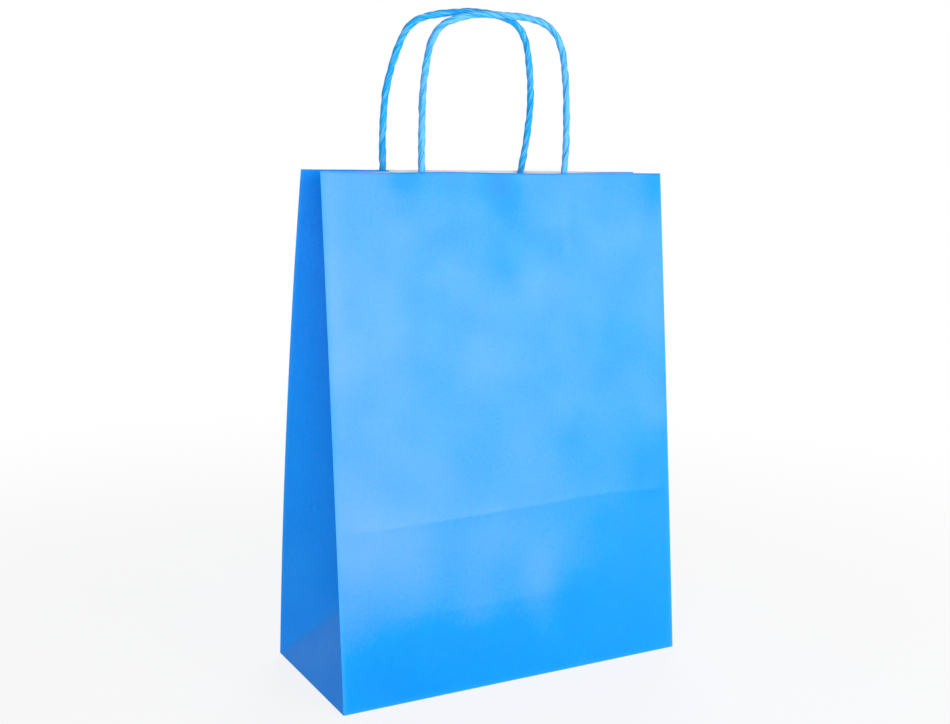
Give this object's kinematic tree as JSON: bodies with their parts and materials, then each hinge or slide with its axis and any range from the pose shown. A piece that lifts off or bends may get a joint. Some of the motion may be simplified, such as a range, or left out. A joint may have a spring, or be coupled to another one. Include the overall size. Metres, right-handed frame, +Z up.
{
  "type": "paper carrier bag",
  "caption": "Block-bottom paper carrier bag with folded side gussets and a pair of twisted paper cord handles glued inside the panels.",
  "frame": {"origin": "middle of the underside, on the surface that the bag stands on", "axes": "+Z up along the bag's height, +X across its width to the right, -Y out of the creased front panel"},
  "size_m": [0.22, 0.0962, 0.3775],
  "materials": {
    "blue_paper": "uncoated, dyed, smooth",
    "blue_cord": "tightly twisted, satin",
    "white_paper": "uncoated, matt"
  },
  "bodies": {
    "root": {"bag_body": "blue_paper", "front_handle": "blue_cord", "back_handle": "blue_cord", "front_patch_backing": "white_paper", "front_patch_cover": "white_paper", "back_patch_backing": "white_paper", "back_patch_cover": "white_paper"}
  },
  "joints": []
}
